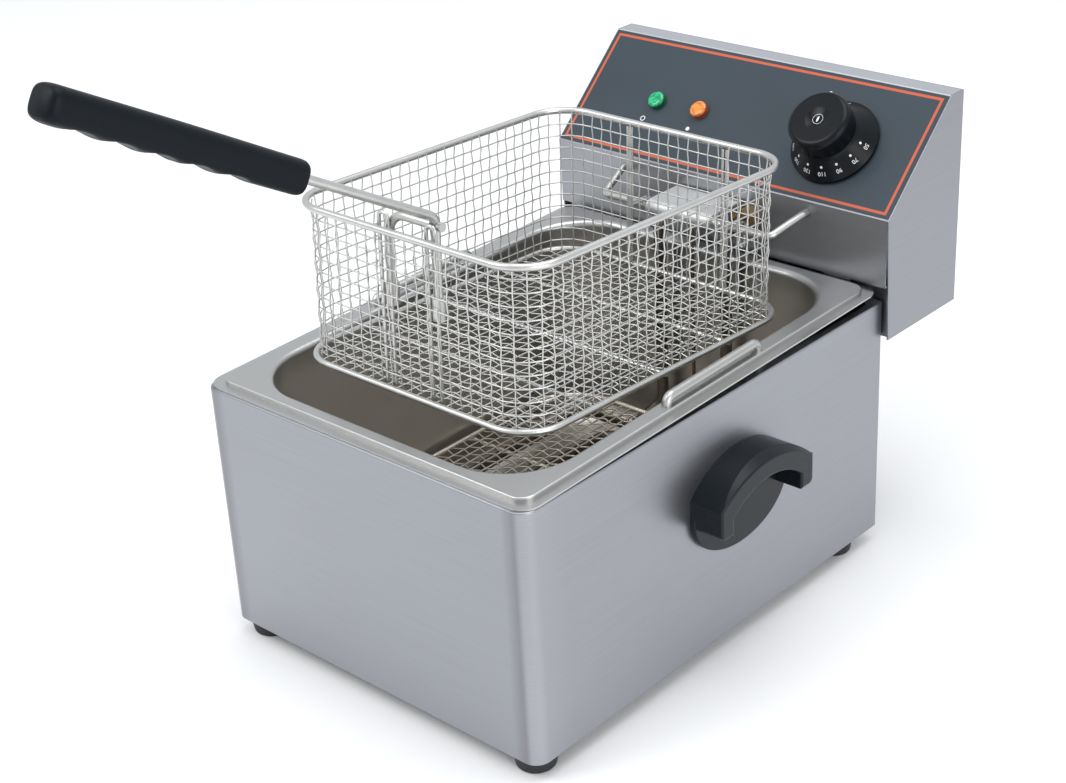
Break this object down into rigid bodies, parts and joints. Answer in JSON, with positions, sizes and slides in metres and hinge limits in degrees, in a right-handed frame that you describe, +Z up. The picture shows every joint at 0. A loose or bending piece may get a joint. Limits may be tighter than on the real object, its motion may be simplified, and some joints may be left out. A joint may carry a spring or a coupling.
{
  "type": "deep fryer",
  "caption": "Countertop electric deep fryer: steel casing, lift-out oil pan, lift-off control head with heating element, and a wire basket hung above the oil on its hanger.",
  "frame": {"origin": "on the table under the middle of the whole fryer's bounding box, basket handle included", "axes": "+Z up, -Y towards the front where the basket handle points, +X to the fryer's right-hand side seen from the front"},
  "size_m": [0.313, 0.6142, 0.445],
  "materials": {
    "casing_steel": "horizontally brushed",
    "inner_steel": "mill finish",
    "pan_steel": "satin, drawn",
    "wire_steel": "bright drawn wire",
    "element_steel": "heat darkened tube",
    "screw_steel": "bright",
    "handle_plastic": "moulded, fine satin",
    "grip_plastic": "moulded, soft sheen",
    "knob_plastic": "moulded, white figures",
    "foot_rubber": "matt",
    "film_print": "slate film with an orange border line",
    "brass": "machined",
    "copper": "drawn tube",
    "green_lens": "clear green",
    "amber_lens": "clear orange",
    "black_plastic": "moulded",
    "white_plastic": "moulded",
    "red_plastic": "moulded"
  },
  "bodies": {
    "casing": {"casing_shell": "casing_steel", "casing_base": "inner_steel", "foot_front_left": "foot_rubber", "foot_front_right": "foot_rubber", "foot_rear_left": "foot_rubber", "foot_rear_right": "foot_rubber", "foot_screws": "screw_steel", "side_handle_right": "handle_plastic", "side_handle_left": "handle_plastic", "side_handle_screws": "screw_steel", "head_bracket": "inner_steel"},
    "pan": {"oil_pan": "pan_steel"},
    "pan_handle_r": {"pan_handle_right": "pan_steel"},
    "pan_handle_l": {"pan_handle_left": "pan_steel"},
    "head": {"head_front": "casing_steel", "head_side_right": "casing_steel", "head_side_left": "casing_steel", "head_back": "casing_steel", "head_bottom": "casing_steel", "cover_screws": "screw_steel", "fascia_film": "film_print", "thermostat_body": "brass", "thermostat_bulb": "copper", "power_lamp": "green_lens", "heating_lamp": "amber_lens", "power_lamp_body": "black_plastic", "heating_lamp_body": "black_plastic", "cutout_body": "black_plastic", "cable_gland": "black_plastic", "terminal_block": "white_plastic", "safety_switch": "black_plastic", "heating_element": "element_steel", "element_nuts": "brass", "guard_frame": "wire_steel", "guard_mesh": "wire_steel", "guard_bars": "wire_steel", "hanger_rod": "wire_steel", "hanger_plate": "wire_steel"},
    "knob": {"thermostat_knob": "knob_plastic", "thermostat_shaft": "screw_steel"},
    "reset": {"reset_button": "red_plastic"},
    "plunger": {"safety_plunger": "screw_steel"},
    "basket": {"basket_mesh": "wire_steel", "basket_rim": "wire_steel", "basket_bottom_ring": "wire_steel", "basket_floor_bars": "wire_steel", "basket_hairpins": "wire_steel", "basket_hooks": "wire_steel", "handle_sockets": "wire_steel"},
    "basket_handle": {"handle_rod": "wire_steel", "handle_arch": "wire_steel", "handle_grip": "grip_plastic"}
  },
  "joints": [
    {"name": "pan_lift", "type": "slide", "parent": "casing", "child": "pan", "axis": [0, 0, 1], "range_m": [0, 0.17]},
    {"name": "pan_handle_r_lift", "type": "slide", "parent": "pan", "child": "pan_handle_r", "axis": [0, -0.0235, 0.9997], "range_m": [0, 0.03]},
    {"name": "pan_handle_l_lift", "type": "slide", "parent": "pan", "child": "pan_handle_l", "axis": [0, -0.0235, 0.9997], "range_m": [0, 0.03]},
    {"name": "head_lift", "type": "slide", "parent": "pan", "child": "head", "axis": [0, 0, 1], "range_m": [0, 0.17]},
    {"name": "knob_turn", "type": "hinge", "parent": "head", "child": "knob", "pos_m": [0.076, 0.2462, 0.26483], "axis": [0, -0.6743, 0.7385], "range_deg": [0, 270]},
    {"name": "reset_press", "type": "slide", "parent": "head", "child": "reset", "axis": [0, 1, 0], "range_m": [-0.0025, 0], "stiffness_N_per_m": 400, "springref_m": 0.002},
    {"name": "plunger_press", "type": "slide", "parent": "head", "child": "plunger", "axis": [0, 0, 1], "range_m": [0, 0.0012], "stiffness_N_per_m": 300, "springref_m": -0.002},
    {"name": "basket_lift", "type": "slide", "parent": "head", "child": "basket", "axis": [0, 0, 1], "range_m": [0, 0.12]},
    {"name": "handle_lift", "type": "slide", "parent": "basket", "child": "basket_handle", "axis": [0, 0.0419, 0.9991], "range_m": [0, 0.07]}
  ]
}
